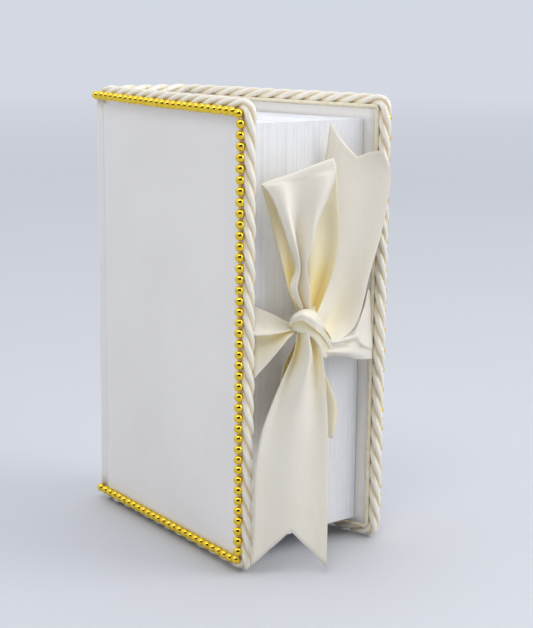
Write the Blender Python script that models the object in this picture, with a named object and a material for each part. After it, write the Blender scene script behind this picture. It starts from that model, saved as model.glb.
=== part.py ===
"""Small prayer book, standing on its tail edge and tied shut with a ribbon bow.

The spine is flat and faces +Y, the front cover faces -X and the fore edge faces -Y. The back
cover stands ajar, so the leaves fan out evenly towards it. Lengths are in metres.
"""

import math

import bmesh
import bpy
from mathutils import Matrix, Vector

MM = 0.001

# Book, measured between the centres of the rope that edges it.
ROPE_HEIGHT = 150.0 * MM
COVER_REACH = 92.0 * MM
SPINE_WIDTH = 35.0 * MM
BACK_SPLAY = math.radians(13.0)

# Rope and bead string along the edges.
ROPE_RADIUS = 2.1 * MM
ROPE_CORNER = 2.4 * MM
ROPE_SINK = 1.15 * MM
BEAD_RADIUS = 1.45 * MM
BEAD_INSET = 2.3 * MM
TABLE_TO_ROPE = ROPE_RADIUS

# Layers of a cover, each a depth from its outer face.
SKIN = 0.6 * MM
BOARD = 2.2 * MM
PASTEDOWN = 0.4 * MM
LAYER_GAP = 0.1 * MM
PANEL_RISE = 0.4 * MM
COVER_DEPTH = SKIN + BOARD + PASTEDOWN + 2 * LAYER_GAP

# The boards stop short of the rope's centre line, and the hinge leaves a groove.
TURN_IN = 0.5 * MM
BOARD_INSET = ROPE_RADIUS + TURN_IN + 0.15 * MM
GROOVE = 5.1 * MM
HINGE_CLEAR = 0.65 * MM
BOARD_LOW = TABLE_TO_ROPE + BOARD_INSET
BOARD_HIGH = TABLE_TO_ROPE + ROPE_HEIGHT - BOARD_INSET
HINGE_X = SPINE_WIDTH / 2 + ROPE_SINK
HINGE_Y = ROPE_SINK

# Text block: signatures fan between the covers, and thin flyleaves lie outside them.
SIGNATURES = 12
BLOCK_LOW = 6.4 * MM
BLOCK_HIGH = 146.0 * MM
FOLD_Y = -3.6 * MM
FORE_EDGE_Y = -85.1 * MM
BLOCK_HALF = 14.3 * MM
BLOCK_FORE_RIGHT = Vector((34.2 * MM, -83.7 * MM))
SIGNATURE_GAP = 0.35 * MM
FOLD_HALF = 0.25 * MM
SHOULDER = 0.18
FLYLEAF = 0.2 * MM
FLYLEAF_OFFSET = 0.45 * MM

# Ribbon.
RIBBON = 25.0 * MM
RIBBON_THICK = 0.8 * MM
RIBBON_MIDDLE = 76.7 * MM
BOW_PIVOT = Vector((38.3 * MM, -93.0 * MM, 0.0))

# The origin is the middle of the standing book's footprint, bow included.
ORIGIN = Vector((10.18 * MM, -52.1 * MM, 0.0))

BOOK = bpy.data.collections.new("prayer_book")
CUTTERS = bpy.data.collections.new("cutters")


def clear_scene():
    for obj in list(bpy.data.objects):
        bpy.data.objects.remove(obj, do_unlink=True)
    for collection in (BOOK, CUTTERS):
        bpy.context.scene.collection.children.link(collection)


def material(name, colour, roughness, metallic=0.0, sheen=0.0):
    made = bpy.data.materials.new(name)
    made.use_nodes = True
    shader = made.node_tree.nodes["Principled BSDF"]
    shader.inputs["Base Color"].default_value = (*colour, 1.0)
    shader.inputs["Roughness"].default_value = roughness
    shader.inputs["Metallic"].default_value = metallic
    shader.inputs["Sheen Weight"].default_value = sheen
    made.diffuse_color = (*colour, 1.0)
    return made


def materials():
    return {
        "cloth": material("cover_cloth", (0.80, 0.80, 0.79), 0.75),
        "board": material("greyboard", (0.45, 0.42, 0.38), 0.9),
        "endpaper": material("endpaper", (0.78, 0.77, 0.74), 0.8),
        "paper": material("paper", (0.90, 0.91, 0.93), 0.85),
        "lining": material("spine_lining", (0.85, 0.82, 0.74), 0.9),
        "headband": material("headband", (0.88, 0.84, 0.70), 0.6, sheen=0.3),
        "rope": material("satin_rope", (0.86, 0.82, 0.70), 0.4, sheen=0.4),
        "bead": material("gilt_bead", (0.90, 0.68, 0.12), 0.15, metallic=1.0),
        "ribbon": material("satin_ribbon", (0.90, 0.87, 0.76), 0.35, sheen=0.4),
    }


def empty(name, place, parent, turn=0.0):
    made = bpy.data.objects.new(name, None)
    made.location = place
    made.rotation_euler = (0.0, 0.0, turn)
    made.parent = parent
    BOOK.objects.link(made)
    return made


def attach(obj, parent, finish):
    BOOK.objects.link(obj)
    obj.parent = parent
    obj.data.materials.append(finish)
    return obj


def mesh_object(name, bm, parent, finish):
    bmesh.ops.recalc_face_normals(bm, faces=bm.faces)
    mesh = bpy.data.meshes.new(name)
    bm.to_mesh(mesh)
    bm.free()
    return attach(bpy.data.objects.new(name, mesh), parent, finish)


def box(name, low, high, parent, finish):
    bm = bmesh.new()
    bmesh.ops.create_cube(bm, size=1.0)
    size = Vector(high) - Vector(low)
    middle = (Vector(high) + Vector(low)) / 2
    bmesh.ops.transform(bm, matrix=Matrix.Translation(middle) @ Matrix.Diagonal((*size, 1.0)), verts=bm.verts)
    return mesh_object(name, bm, parent, finish)


def outline_plate(name, outline, low, high, parent, finish):
    """A flat outline in plan, raised from the height low to the height high."""
    curve = bpy.data.curves.new(name, "CURVE")
    curve.dimensions = "2D"
    curve.fill_mode = "BOTH"
    curve.extrude = (high - low) / 2
    spline = curve.splines.new("POLY")
    spline.points.add(len(outline) - 1)
    for point, place in zip(spline.points, outline):
        point.co = (place[0], place[1], 0.0, 1.0)
    spline.use_cyclic_u = True
    plate = attach(bpy.data.objects.new(name, curve), parent, finish)
    plate.location.z = (low + high) / 2
    return plate


def tube(name, route, radius, parent, finish):
    curve = bpy.data.curves.new(name, "CURVE")
    curve.dimensions = "3D"
    curve.bevel_depth = radius
    curve.bevel_resolution = 2
    curve.use_fill_caps = True
    spline = curve.splines.new("POLY")
    spline.points.add(len(route) - 1)
    for point, place in zip(spline.points, route):
        point.co = (*place, 1.0)
    return attach(bpy.data.objects.new(name, curve), parent, finish)


def edge_route(depth_x, start_y, end_y, low, high):
    """Along the head from start_y, down the fore edge at end_y and back along the tail."""
    corner = []
    for step in range(4):
        angle = math.radians(30.0 * step)
        corner.append((ROPE_CORNER * (1 - math.sin(angle)), ROPE_CORNER * (1 - math.cos(angle))))
    route = [(depth_x, start_y, high)]
    for along, down in corner:
        route.append((depth_x, end_y + along, high - down))
    for along, down in reversed(corner):
        route.append((depth_x, end_y + along, low + down))
    route.append((depth_x, start_y, low))
    return route


def cut(target, cutter):
    CUTTERS.objects.link(cutter)
    BOOK.objects.unlink(cutter)
    cutter.hide_render = True
    cutter.display_type = "WIRE"
    boolean = target.modifiers.new("cut", "BOOLEAN")
    boolean.object = cutter
    boolean.operation = "DIFFERENCE"


def cloth_tray(name, x_of, y_low, y_high, parent, finish):
    """The covering: a skin over the board's outer face, turned over its head, tail and ends."""
    inner = SKIN + LAYER_GAP + BOARD
    low = (min(x_of(0.0), x_of(inner)), y_low - TURN_IN, BOARD_LOW - TURN_IN)
    high = (max(x_of(0.0), x_of(inner)), y_high, BOARD_HIGH + TURN_IN)
    tray = box(name, low, high, parent, finish)
    far = inner + 1.0 * MM
    hollow_low = (min(x_of(SKIN), x_of(far)), y_low - LAYER_GAP, BOARD_LOW - LAYER_GAP)
    hollow_high = (max(x_of(SKIN), x_of(far)), y_high + 1.0 * MM, BOARD_HIGH + LAYER_GAP)
    cut(tray, box(name + "_hollow", hollow_low, hollow_high, parent, finish))
    return tray


def raise_panel(tray, x_of, inset):
    """The padded middle of the covering stands a little proud, inside the line of beads."""
    bm = bmesh.new()
    bm.from_mesh(tray.data)
    outer = min(bm.faces, key=lambda face: abs(face.calc_center_median().x - x_of(0.0)))
    bmesh.ops.inset_region(bm, faces=[outer], thickness=inset, use_even_offset=True)
    bmesh.ops.inset_region(bm, faces=[outer], thickness=1.2 * MM, use_even_offset=True)
    rise = x_of(-PANEL_RISE) - x_of(0.0)
    bmesh.ops.translate(bm, verts=outer.verts, vec=(rise, 0.0, 0.0))
    bm.to_mesh(tray.data)
    bm.free()


def cover(side, name, hinge, finish):
    """One cover in its hinge's frame: it reaches along -Y, and side is -1 for the front."""

    def x_of(depth):
        return -side * depth

    fore_rope = -(COVER_REACH + ROPE_SINK)
    board_fore = fore_rope + BOARD_INSET
    near = -GROOVE
    skin_low = SKIN + LAYER_GAP
    board = sorted((x_of(skin_low), x_of(skin_low + BOARD)))
    board_box = ((board[0], board_fore, BOARD_LOW), (board[1], near, BOARD_HIGH))
    box(name + "_board", board_box[0], board_box[1], hinge, finish["board"])

    strip = sorted((x_of(0.0), x_of(SKIN)))
    strip_low = (strip[0], near + LAYER_GAP, BOARD_LOW - TURN_IN)
    strip_high = (strip[1], -HINGE_CLEAR, BOARD_HIGH + TURN_IN)
    box(name + "_hinge_cloth", strip_low, strip_high, hinge, finish["cloth"])

    tray = cloth_tray(name + "_cover_cloth", x_of, board_fore, near, hinge, finish["cloth"])
    raise_panel(tray, x_of, 5.0 * MM)

    inner = sorted((x_of(COVER_DEPTH - PASTEDOWN), x_of(COVER_DEPTH)))
    margin = 1.5 * MM
    box(
        name + "_pastedown",
        (inner[0], board_fore + margin, BOARD_LOW + margin),
        (inner[1], near, BOARD_HIGH - margin),
        hinge,
        finish["endpaper"],
    )

    low = TABLE_TO_ROPE
    high = TABLE_TO_ROPE + ROPE_HEIGHT
    rope = edge_route(x_of(ROPE_SINK), -4.4 * MM, fore_rope, low, high)
    tube(name + "_rope", rope, ROPE_RADIUS, hinge, finish["rope"])

    bead_line = edge_route(
        x_of(-BEAD_RADIUS - LAYER_GAP),
        -4.4 * MM,
        fore_rope + BEAD_INSET,
        low + BEAD_INSET,
        high - BEAD_INSET,
    )
    tube(name + "_bead_string", bead_line, BEAD_RADIUS, hinge, finish["bead"])


def spine(book, finish):
    half = SPINE_WIDTH / 2 - 2.9 * MM
    back = HINGE_Y - SKIN - LAYER_GAP
    box("spine_board", (-half, back - BOARD, BOARD_LOW), (half, back, BOARD_HIGH), book, finish["board"])

    reach = HINGE_X - HINGE_CLEAR
    inner = (-reach, back - BOARD, BOARD_LOW - TURN_IN)
    outer = (reach, HINGE_Y, BOARD_HIGH + TURN_IN)
    cloth = box("spine_cloth", inner, outer, book, finish["cloth"])
    hollow_low = (-reach - MM, back - BOARD - MM, BOARD_LOW - LAYER_GAP)
    hollow_high = (reach + MM, HINGE_Y - SKIN, BOARD_HIGH + LAYER_GAP)
    cut(cloth, box("spine_cloth_hollow", hollow_low, hollow_high, book, finish["cloth"]))
    for side in (-1, 1):
        ends = sorted((side * (half + TURN_IN), side * (reach + MM)))
        end_low = (ends[0], back - BOARD - MM, 0.0)
        end_high = (ends[1], HINGE_Y - SKIN, BOARD_HIGH + 2 * MM)
        cut(cloth, box(f"spine_cloth_end_{side}", end_low, end_high, book, finish["cloth"]))

    lining_back = back - BOARD - LAYER_GAP
    lining_low = (-BLOCK_HALF, lining_back - 0.6 * MM, BLOCK_LOW + 1.0 * MM)
    lining_high = (BLOCK_HALF, lining_back, BLOCK_HIGH - 1.0 * MM)
    box("spine_lining", lining_low, lining_high, book, finish["lining"])

    low = TABLE_TO_ROPE
    high = TABLE_TO_ROPE + ROPE_HEIGHT
    band_radius = 0.9 * MM
    band_gap = band_radius + 0.2 * MM
    ends = (
        ("head", high, high - BEAD_INSET, BLOCK_HIGH + band_gap),
        ("tail", low, low + BEAD_INSET, BLOCK_LOW - band_gap),
    )
    for end, rope_z, bead_z, band_z in ends:
        reach = SPINE_WIDTH / 2 - 2.4 * MM
        row = [(-reach, 0.0, rope_z), (reach, 0.0, rope_z)]
        tube(f"spine_rope_{end}", row, ROPE_RADIUS, book, finish["rope"])
        bead_y = HINGE_Y + BEAD_RADIUS + LAYER_GAP
        row = [(-reach, bead_y, bead_z), (reach, bead_y, bead_z)]
        tube(f"spine_beads_{end}", row, BEAD_RADIUS, book, finish["bead"])
        row = [(-BLOCK_HALF, FOLD_Y, band_z), (BLOCK_HALF, FOLD_Y, band_z)]
        tube(f"headband_{end}", row, band_radius, book, finish["headband"])


def fan_ray(share):
    """Where the leaf at this share of the block starts at the folds and ends at the fore edge."""
    fold = Vector((-BLOCK_HALF + 2 * BLOCK_HALF * share, FOLD_Y))
    fore_left = Vector((-BLOCK_HALF, FORE_EDGE_Y))
    return fold, fore_left.lerp(BLOCK_FORE_RIGHT, share)


def signatures(book, finish):
    for index in range(SIGNATURES):
        fold = (fan_ray(index / SIGNATURES)[0] + fan_ray((index + 1) / SIGNATURES)[0]) / 2
        hinge = empty(f"signature_{index + 1:02d}_fold", (*fold, 0.0), book)
        left_fold, left_fore = fan_ray(index / SIGNATURES)
        right_fold, right_fore = fan_ray((index + 1) / SIGNATURES)
        gap = Vector((SIGNATURE_GAP / 2, 0.0))
        plan = [
            fold - Vector((FOLD_HALF, 0.0)),
            left_fold.lerp(left_fore, SHOULDER) + gap,
            left_fore + gap,
            right_fore - gap,
            right_fold.lerp(right_fore, SHOULDER) - gap,
            fold + Vector((FOLD_HALF, 0.0)),
        ]
        outline = [place - fold for place in plan]
        name = f"signature_{index + 1:02d}"
        outline_plate(name, outline, BLOCK_LOW, BLOCK_HIGH, hinge, finish["paper"])


def flyleaf(name, share, sideways, book, finish):
    fold, fore = fan_ray(share)
    shift = Vector((sideways * FLYLEAF_OFFSET, 0.0))
    hinge = empty(name + "_fold", (*(fold + shift), 0.0), book)
    half = Vector((FLYLEAF / 2, 0.0))
    reach = fore - fold
    outline = [-half, reach - half, reach + half, half]
    outline_plate(name, outline, BLOCK_LOW, BLOCK_HIGH, hinge, finish["endpaper"])


def band(name, sections, thickness, parent, finish, notch=0.0):
    """A ribbon through sections, each a left and a right edge point, with a swallowtail notch.

    Thickness is one number a section. Every section is a ring of six points: left, middle and
    right on the face, then back again behind it.
    """
    rows = []
    for left, right in sections:
        left = Vector(left) * MM
        right = Vector(right) * MM
        rows.append([left, (left + right) / 2, right])
    if notch:
        inward = (rows[-2][1] - rows[-1][1]).normalized()
        rows[-1][1] = rows[-1][1] + inward * notch
    bm = bmesh.new()
    rings = []
    for index, row in enumerate(rows):
        ahead = rows[min(index + 1, len(rows) - 1)][1]
        behind = rows[max(index - 1, 0)][1]
        normal = (row[2] - row[0]).cross(ahead - behind).normalized()
        offset = normal * thickness[index] / 2
        ring = [place + offset for place in row] + [place - offset for place in reversed(row)]
        rings.append([bm.verts.new(place) for place in ring])
    for ring, following in zip(rings, rings[1:]):
        for step in range(6):
            after = (step + 1) % 6
            bm.faces.new((ring[step], ring[after], following[after], following[step]))
    for ring in (rings[0], rings[-1]):
        bm.faces.new((ring[0], ring[1], ring[4], ring[5]))
        bm.faces.new((ring[1], ring[2], ring[3], ring[4]))
    return mesh_object(name, bm, parent, finish)


def seen_from(origin, sections):
    """Sections given in the book's frame, in millimetres, measured from origin instead."""
    return [[Vector(place) - origin / MM for place in section] for section in sections]


def ribbon_leads(front_hinge, bow, finish):
    """Each ribbon leaves its cover at mid-height and gathers towards the knot."""
    low = (RIBBON_MIDDLE - RIBBON / 2) / MM
    high = (RIBBON_MIDDLE + RIBBON / 2) / MM
    front = [
        ((-14.4, -87.6, low), (-14.4, -87.6, high)),
        ((-13.9, -90.2, low + 0.4), (-13.9, -90.2, high - 0.6)),
        ((-10.4, -91.9, 69.4), (-10.4, -91.9, 87.0)),
        ((-4.9, -92.3, 78.4), (-4.9, -92.3, 84.4)),
    ]
    sections = seen_from(Vector((-HINGE_X, HINGE_Y, 0.0)), front)
    flat = [RIBBON_THICK] * len(front)
    band("front_ribbon_lead", sections, flat, front_hinge, finish["ribbon"])
    back = [
        ((34.4, -87.4, low), (34.4, -87.4, high)),
        ((33.2, -91.0, low + 0.7), (33.2, -91.0, high - 1.6)),
        ((24.0, -97.2, 67.4), (24.0, -97.2, 79.0)),
        ((16.0, -100.2, 72.6), (16.0, -100.2, 79.6)),
        ((9.6, -102.0, 77.6), (9.6, -102.0, 82.6)),
    ]
    flat = [RIBBON_THICK] * len(back)
    band("back_ribbon_lead", seen_from(BOW_PIVOT, back), flat, bow, finish["ribbon"])


def bow_parts(bow, finish):
    """Knot, two loops and two tails. The bow faces forward and to the left of the fore edge."""
    face_turn = math.radians(-35.7)
    knot_middle = Vector((2.2, -96.6, 82.0)) * MM - BOW_PIVOT
    bm = bmesh.new()
    bmesh.ops.create_uvsphere(bm, u_segments=16, v_segments=10, radius=1.0)
    radii = Matrix.Diagonal((6.6 * MM, 3.9 * MM, 5.2 * MM, 1.0))
    place = Matrix.Translation(knot_middle) @ Matrix.Rotation(face_turn, 4, "Z") @ radii
    bmesh.ops.transform(bm, matrix=place, verts=bm.verts)
    knot = mesh_object("ribbon_knot", bm, bow, finish["ribbon"])
    knot.data.shade_smooth()

    upper_loop = [
        ((0.0, -94.7, 88.0), (5.6, -98.2, 88.0)),
        ((-3.8, -92.7, 100.3), (10.2, -100.2, 100.2)),
        ((-7.7, -91.0, 117.3), (10.6, -101.7, 117.4)),
        ((-10.6, -89.4, 127.2), (7.3, -102.0, 136.0)),
    ]
    thick = [2.4 * MM, 5.0 * MM, 6.0 * MM, 1.6 * MM]
    band("upper_loop", seen_from(BOW_PIVOT, upper_loop), thick, bow, finish["ribbon"])

    lower_loop = [
        ((1.2, -91.2, 75.4), (6.0, -93.4, 75.2)),
        ((-2.1, -89.6, 63.5), (14.4, -95.4, 60.0)),
        ((-0.3, -89.6, 47.2), (16.1, -95.2, 41.9)),
    ]
    thick = [1.6 * MM, 4.0 * MM, 1.6 * MM]
    band("lower_loop", seen_from(BOW_PIVOT, lower_loop), thick, bow, finish["ribbon"])

    upper_tail = [
        ((9.9, -94.0, 84.0), (14.2, -96.6, 81.6)),
        ((11.6, -91.0, 94.7), (24.6, -97.6, 93.6)),
        ((13.9, -88.6, 114.0), (32.3, -97.4, 114.5)),
        ((16.8, -88.4, 146.0), (33.2, -97.2, 136.0)),
    ]
    flat = [RIBBON_THICK] * len(upper_tail)
    sections = seen_from(BOW_PIVOT, upper_tail)
    band("upper_tail", sections, flat, bow, finish["ribbon"], notch=8.0 * MM)

    lower_tail = [
        ((-2.0, -97.6, 75.0), (4.8, -100.6, 74.4)),
        ((-6.6, -96.6, 67.3), (5.4, -102.4, 67.6)),
        ((-13.6, -96.0, 55.6), (5.0, -105.0, 55.0)),
        ((-17.1, -95.7, 36.2), (3.5, -107.5, 35.7)),
        ((-18.0, -95.6, 3.3), (3.5, -108.0, 2.7)),
    ]
    flat = [RIBBON_THICK] * len(lower_tail)
    sections = seen_from(BOW_PIVOT, lower_tail)
    band("lower_tail", sections, flat, bow, finish["ribbon"], notch=11.0 * MM)


def main():
    clear_scene()
    finish = materials()
    book = empty("book", -ORIGIN, None)
    front_hinge = empty("front_hinge", (-HINGE_X, HINGE_Y, 0.0), book)
    back_hinge = empty("back_hinge", (HINGE_X, HINGE_Y, 0.0), book, BACK_SPLAY)
    bow = empty("bow_pivot", BOW_PIVOT, book)
    cover(-1, "front", front_hinge, finish)
    cover(1, "back", back_hinge, finish)
    spine(book, finish)
    signatures(book, finish)
    flyleaf("front_flyleaf", 0.0, -1, book, finish)
    flyleaf("back_flyleaf", 1.0, 1, book, finish)
    ribbon_leads(front_hinge, bow, finish)
    bow_parts(bow, finish)


main()
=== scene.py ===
"""Looks of the prayer book: rope, beads, cloth, leaves and the satin bow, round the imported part."""

import math
import random

import bpy
import numpy as np
from mathutils import Matrix, Vector

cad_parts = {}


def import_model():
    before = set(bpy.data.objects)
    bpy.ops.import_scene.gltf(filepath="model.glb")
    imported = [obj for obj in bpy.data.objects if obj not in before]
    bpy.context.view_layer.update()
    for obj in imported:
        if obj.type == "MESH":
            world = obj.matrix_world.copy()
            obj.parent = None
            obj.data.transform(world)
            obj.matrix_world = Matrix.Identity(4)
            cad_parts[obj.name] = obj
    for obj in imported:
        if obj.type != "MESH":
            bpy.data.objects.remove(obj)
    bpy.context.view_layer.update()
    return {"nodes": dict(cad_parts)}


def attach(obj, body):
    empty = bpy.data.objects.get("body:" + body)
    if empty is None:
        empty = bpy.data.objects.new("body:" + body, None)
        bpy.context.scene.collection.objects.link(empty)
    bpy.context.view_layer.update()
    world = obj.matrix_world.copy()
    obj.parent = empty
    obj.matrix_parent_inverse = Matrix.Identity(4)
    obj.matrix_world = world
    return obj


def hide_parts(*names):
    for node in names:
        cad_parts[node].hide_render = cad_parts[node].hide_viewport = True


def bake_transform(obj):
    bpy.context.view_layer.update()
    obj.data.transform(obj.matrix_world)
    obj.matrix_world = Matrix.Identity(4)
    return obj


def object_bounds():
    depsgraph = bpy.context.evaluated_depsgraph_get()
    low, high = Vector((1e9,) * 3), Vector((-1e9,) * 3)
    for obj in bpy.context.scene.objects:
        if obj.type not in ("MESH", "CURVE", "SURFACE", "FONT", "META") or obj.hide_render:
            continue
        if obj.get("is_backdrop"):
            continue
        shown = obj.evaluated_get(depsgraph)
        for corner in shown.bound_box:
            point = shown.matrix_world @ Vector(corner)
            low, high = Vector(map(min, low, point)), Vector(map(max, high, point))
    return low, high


MM = 0.001

# Lengths are in millimetres and start at the middle of the spine's rope: x runs toward the back
# cover, y out of the spine and z up. SHIFT is where the part has that point.
SHIFT = np.array([-10.18, 52.1, 0.0])

# The covers' hinges, and the angle at which the back cover stands ajar.
HINGE_X = 18.65
HINGE_Y = 1.15
SPLAY = math.radians(13.0)

# The ropes: centre lines, corners, and the straight run on each half of the spine.
ROPE_DEPTH = 1.15
ROPE_REACH = 92.0
ROPE_NEAR = -4.2
ROPE_LOW = 2.1
ROPE_HIGH = 152.1
ROPE_CORNER = 2.4
ROPE_STRAIGHT = 12.0
ROPE_TURNS = 17.0
STRAND_RADIUS = 1.14
STRAND_OFFSET = 1.00
# Along the tail the front rope is pressed in and up a little, where the book stands on it.
FRONT_FOOT_SHIFT = np.array((0.5, 0.2, 0.2))

# The boards, seen from their hinges, and the cloth that stands out past them.
BOARD_LOW = 4.85
BOARD_HIGH = 149.35
BOARD_FORE = -90.4
BOARD_NEAR = -5.1
TURN_IN = 0.5
CLOTH_LOW = BOARD_LOW - TURN_IN
CLOTH_HIGH = BOARD_HIGH + TURN_IN
CLOTH_THICK = 0.4
PAPER_THICK = 0.16
GLUE_AND_SHADE_RADIUS = 0.74

BEAD_RADIUS = 1.56
BEAD_PITCH = 3.47
THREAD_RADIUS = 0.42
SPINE_BEAD_ROWS = {"head": 150.6, "tail": 4.2}
HEADBANDS = {"head": 147.1, "tail": 5.3}

# The block: the folds' line at the spine, half its thickness there, and the fore edge.
SIGNATURES = 12
LEAVES = 14
FOLD_Y = -3.6
BLOCK_HALF = 14.3
BLOCK_LOW = 6.4
BLOCK_HIGH = 146.0
FORE_Y = -85.1
FORE_RIGHT = np.array((34.2, -83.7))

RIBBON_WIDTH = 25.0
RIBBON_THICK = 0.16
PLEATED_COLUMNS = 33
ROWS_PER_SECTION = 7
KNOT_CENTRE = np.array((2.2, -96.6, 82.0))

FLOOR_SIZE = 40.0
FLOOR_GAP = 0.00015
HAZE = (0.655, 0.69, 0.765)

# The way the camera faces, in plan, and what is to its right.
YAW = math.radians(35.66)
PITCH = math.radians(11.71)
ROLL = math.radians(0.62)
LENS = 95.98
CAMERA_PLACE = (-269.0, -452.3, 177.9)
AHEAD = np.array((math.sin(YAW), math.cos(YAW), 0.0))
RIGHT = np.array((math.cos(YAW), -math.sin(YAW), 0.0))
UP = np.array((0.0, 0.0, 1.0))

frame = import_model()


def row_frame(points):
    """Book millimetres to metres in the part's frame."""
    return (np.asarray(points, float) + SHIFT) * MM


# ---------------------------------------------------------------- materials

def set_input(node, name, value):
    node.inputs[name].default_value = value


def fill_ramp(node, stops):
    """Sets the stops of a colour ramp, each a position and a colour."""
    elements = node.color_ramp.elements
    while len(elements) < len(stops):
        elements.new(0.5)
    for element, (position, colour) in zip(elements, stops):
        element.position = position
        element.color = (*colour, 1.0)


class Finish:
    """A procedural material, built one node at a time."""

    def __init__(self, name):
        self.material = bpy.data.materials.new(name)
        self.material.use_nodes = True
        self.tree = self.material.node_tree
        self.shader = self.tree.nodes["Principled BSDF"]
        self.place = self.add("ShaderNodeTexCoord").outputs["Object"]
        self.uv = self.add("ShaderNodeUVMap").outputs["UV"]

    def add(self, kind, links=(), **settings):
        made = self.tree.nodes.new(kind)
        for key, value in settings.items():
            setattr(made, key, value)
        for socket, source in links:
            self.link(source, made.inputs[socket])
        return made

    def link(self, source, socket):
        if isinstance(source, bpy.types.NodeSocket):
            self.tree.links.new(source, socket)
        else:
            socket.default_value = source

    def math(self, operation, first, second=0.0, third=0.0):
        made = self.add("ShaderNodeMath", operation=operation)
        for index, value in enumerate((first, second, third)):
            self.link(value, made.inputs[index])
        return made.outputs[0]

    def noise(self, scale, detail=3.0, source=None, stretch=None):
        source = self.place if source is None else source
        if stretch is not None:
            source = self.add("ShaderNodeMapping", [("Vector", source), ("Scale", stretch)]).outputs[0]
        made = self.add("ShaderNodeTexNoise", [("Vector", source), ("Scale", scale)])
        set_input(made, "Detail", detail)
        return made.outputs[0]

    def ramp(self, factor, *stops):
        made = self.add("ShaderNodeValToRGB", [("Fac", factor)])
        fill_ramp(made, stops)
        return made.outputs[0]

    def mix(self, factor, first, second, blend="MIX"):
        made = self.add("ShaderNodeMix", data_type="RGBA", blend_type=blend)
        self.link(factor, made.inputs[0])
        for index, value in ((6, first), (7, second)):
            plain = not isinstance(value, bpy.types.NodeSocket)
            self.link((*value, 1.0) if plain else value, made.inputs[index])
        return made.outputs[2]

    def bump(self, height, strength, distance, under=None):
        made = self.add("ShaderNodeBump", [("Height", height), ("Strength", strength)])
        set_input(made, "Distance", distance)
        if under is not None:
            self.link(under, made.inputs["Normal"])
        self.link(made.outputs[0], self.shader.inputs["Normal"])
        return made.outputs[0]

    def colour(self, source):
        self.link(source, self.shader.inputs["Base Color"])

    def roughness(self, pattern, spread, least):
        """Roughness from `least` where the pattern is 0, and `spread` more where it is 1."""
        self.link(self.math("MULTIPLY_ADD", pattern, spread, least), self.shader.inputs["Roughness"])

    def set(self, name, value):
        set_input(self.shader, name, value)

    def uv_part(self, axis):
        return self.add("ShaderNodeSeparateXYZ", [("Vector", self.uv)]).outputs[axis]

    def stripes(self, phase):
        """0 to 1 and back for each whole step of the phase."""
        wave = self.math("SINE", self.math("MULTIPLY", phase, 2 * math.pi))
        return self.math("MULTIPLY_ADD", wave, 0.5, 0.5)

    def mixed_with(self, share, shader):
        """Puts another shader over the main one, by a share of 0 to 1."""
        parts = [(0, share), (1, self.shader.outputs[0]), (2, shader.outputs[0])]
        both = self.add("ShaderNodeMixShader", parts)
        self.link(both.outputs[0], self.tree.nodes["Material Output"].inputs["Surface"])


def cover_cloth():
    f = Finish("cover_cloth")
    clouds = f.noise(28.0, 4.0)
    specks = f.noise(900.0, 2.0)
    shade = f.ramp(clouds, (0.3, (0.79, 0.775, 0.755)), (0.7, (0.83, 0.815, 0.795)))
    flecks = f.ramp(specks, (0.26, (0.90, 0.90, 0.90)), (0.36, (1.0, 1.0, 1.0)))
    f.colour(f.mix(0.6, shade, flecks, "MULTIPLY"))
    fine, coarse = 9000.0, 1100.0
    upright = f.noise(1.0, 1.0, stretch=(fine, fine, coarse))
    level = f.noise(1.0, 1.0, stretch=(coarse, coarse, fine))
    grain = f.bump(f.math("ADD", upright, level), 0.18, 0.00012)
    f.bump(clouds, 0.25, 0.0006, grain)
    f.roughness(specks, 0.2, 0.55)
    f.set("Sheen Weight", 0.12)
    f.set("Specular IOR Level", 0.35)
    return f.material


def paper(name, light, dark):
    """Paper; each leaf's own number in the UV makes some leaves darker than others."""
    f = Finish(name)
    each = f.add("ShaderNodeTexWhiteNoise", [("W", f.uv_part(0))], noise_dimensions="1D").outputs[0]
    tone = f.ramp(each, (0.0, dark), (0.16, light), (1.0, light))
    mottle = f.ramp(f.noise(300.0, 4.0), (0.3, (0.965, 0.965, 0.97)), (0.7, (1.0, 1.0, 1.0)))
    f.colour(f.mix(1.0, tone, mottle, "MULTIPLY"))
    f.bump(f.noise(2600.0, 3.0), 0.12, 0.00008)
    f.roughness(f.noise(600.0), 0.15, 0.68)
    f.set("Specular IOR Level", 0.3)
    return f.material


def board():
    f = Finish("grey_board")
    f.colour(f.ramp(f.noise(700.0, 5.0), (0.3, (0.34, 0.31, 0.27)), (0.7, (0.46, 0.43, 0.38))))
    f.bump(f.noise(1500.0, 3.0), 0.4, 0.0002)
    f.set("Roughness", 0.9)
    return f.material


def mull():
    """Open-weave lining: crossed threads over brown paper."""
    f = Finish("mull")
    spacing = [("Vector", f.place), ("Scale", 420.0)]
    across = f.add("ShaderNodeTexWave", spacing, bands_direction="X").outputs[1]
    upward = f.add("ShaderNodeTexWave", spacing, bands_direction="Z").outputs[1]
    net = f.math("MAXIMUM", across, upward)
    f.colour(f.ramp(net, (0.6, (0.55, 0.47, 0.36)), (0.85, (0.80, 0.77, 0.70))))
    f.bump(net, 0.5, 0.0002)
    f.set("Roughness", 0.85)
    return f.material


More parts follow.
